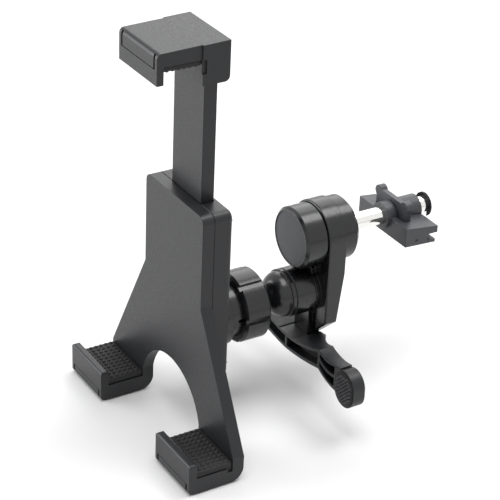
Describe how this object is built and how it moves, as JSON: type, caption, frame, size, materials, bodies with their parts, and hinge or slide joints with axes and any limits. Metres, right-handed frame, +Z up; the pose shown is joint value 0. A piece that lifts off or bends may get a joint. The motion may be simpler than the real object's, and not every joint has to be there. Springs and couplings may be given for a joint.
{
  "type": "tablet holder",
  "caption": "Car holder with a vent-blade clip, swivel arm with a padded support foot, ball joint and clamping cradle with a sliding spring jaw.",
  "frame": {"origin": "middle of the clip's slot for a vent blade", "axes": "+Y into the vent along the rod, +Z up, X across, with the holder symmetric about X = 0"},
  "size_m": [0.09, 0.1273, 0.1519],
  "materials": {
    "black_abs": "satin moulded",
    "gloss_black_abs": "semi-gloss moulded",
    "grey_abs": "satin",
    "chrome": "bright plated",
    "screw_steel": "plain",
    "spring_steel": "drawn wire",
    "black_rubber": "textured"
  },
  "bodies": {
    "vent_clip": {"clip_body": "black_abs", "latch_springs": "spring_steel"},
    "latch": {"latch_plate": "black_abs"},
    "rod": {"vent_rod": "chrome", "rod_stop_ring": "screw_steel", "rear_collar": "black_abs", "front_cap": "gloss_black_abs", "cap_disc": "grey_abs", "pivot_screw": "screw_steel"},
    "arm": {"arm_body": "gloss_black_abs", "support_foot": "black_abs", "foot_screw": "screw_steel", "right_support_pad": "black_rubber", "left_support_pad": "black_rubber"},
    "stud": {"ball_stud": "gloss_black_abs", "stud_screw": "screw_steel"},
    "nut": {"collar_nut": "gloss_black_abs"},
    "cradle": {"cradle_frame": "black_abs", "left_foot_pad": "black_rubber", "right_foot_pad": "black_rubber", "rear_housing": "black_abs", "cover_screws": "screw_steel", "ball_socket": "gloss_black_abs", "socket_screws": "screw_steel", "jaw_springs": "spring_steel"},
    "jaw": {"upper_jaw": "black_abs", "jaw_pad": "black_rubber", "jaw_bar": "black_abs", "jaw_screws": "screw_steel"}
  },
  "joints": [
    {"name": "latch_press", "type": "slide", "parent": "vent_clip", "child": "latch", "axis": [0, 0, -1], "range_m": [0, 0.001], "stiffness_N_per_m": 600, "deforming": ["latch_springs"]},
    {"name": "rod_slide", "type": "slide", "parent": "vent_clip", "child": "rod", "axis": [0, 1, 0], "range_m": [-0.0035, 0.016]},
    {"name": "arm_turn", "type": "hinge", "parent": "rod", "child": "arm", "pos_m": [0, -0.04, 0.0049], "axis": [0, 1, 0], "continuous": true},
    {"name": "stud_turn", "type": "hinge", "parent": "arm", "child": "stud", "pos_m": [0, -0.0729, -0.01745], "axis": [0, 1, 0], "continuous": true},
    {"name": "ball_tilt", "type": "hinge", "parent": "stud", "child": "nut", "pos_m": [0, -0.0729, -0.01745], "axis": [1, 0, 0], "range_deg": [-20, 20]},
    {"name": "cradle_spin", "type": "hinge", "parent": "nut", "child": "cradle", "pos_m": [0, -0.0729, -0.01745], "axis": [0, 1, 0], "continuous": true},
    {"name": "jaw_slide", "type": "slide", "parent": "cradle", "child": "jaw", "axis": [0, 0, 1], "range_m": [-0.038, 0.005], "deforming": ["jaw_springs"]}
  ]
}
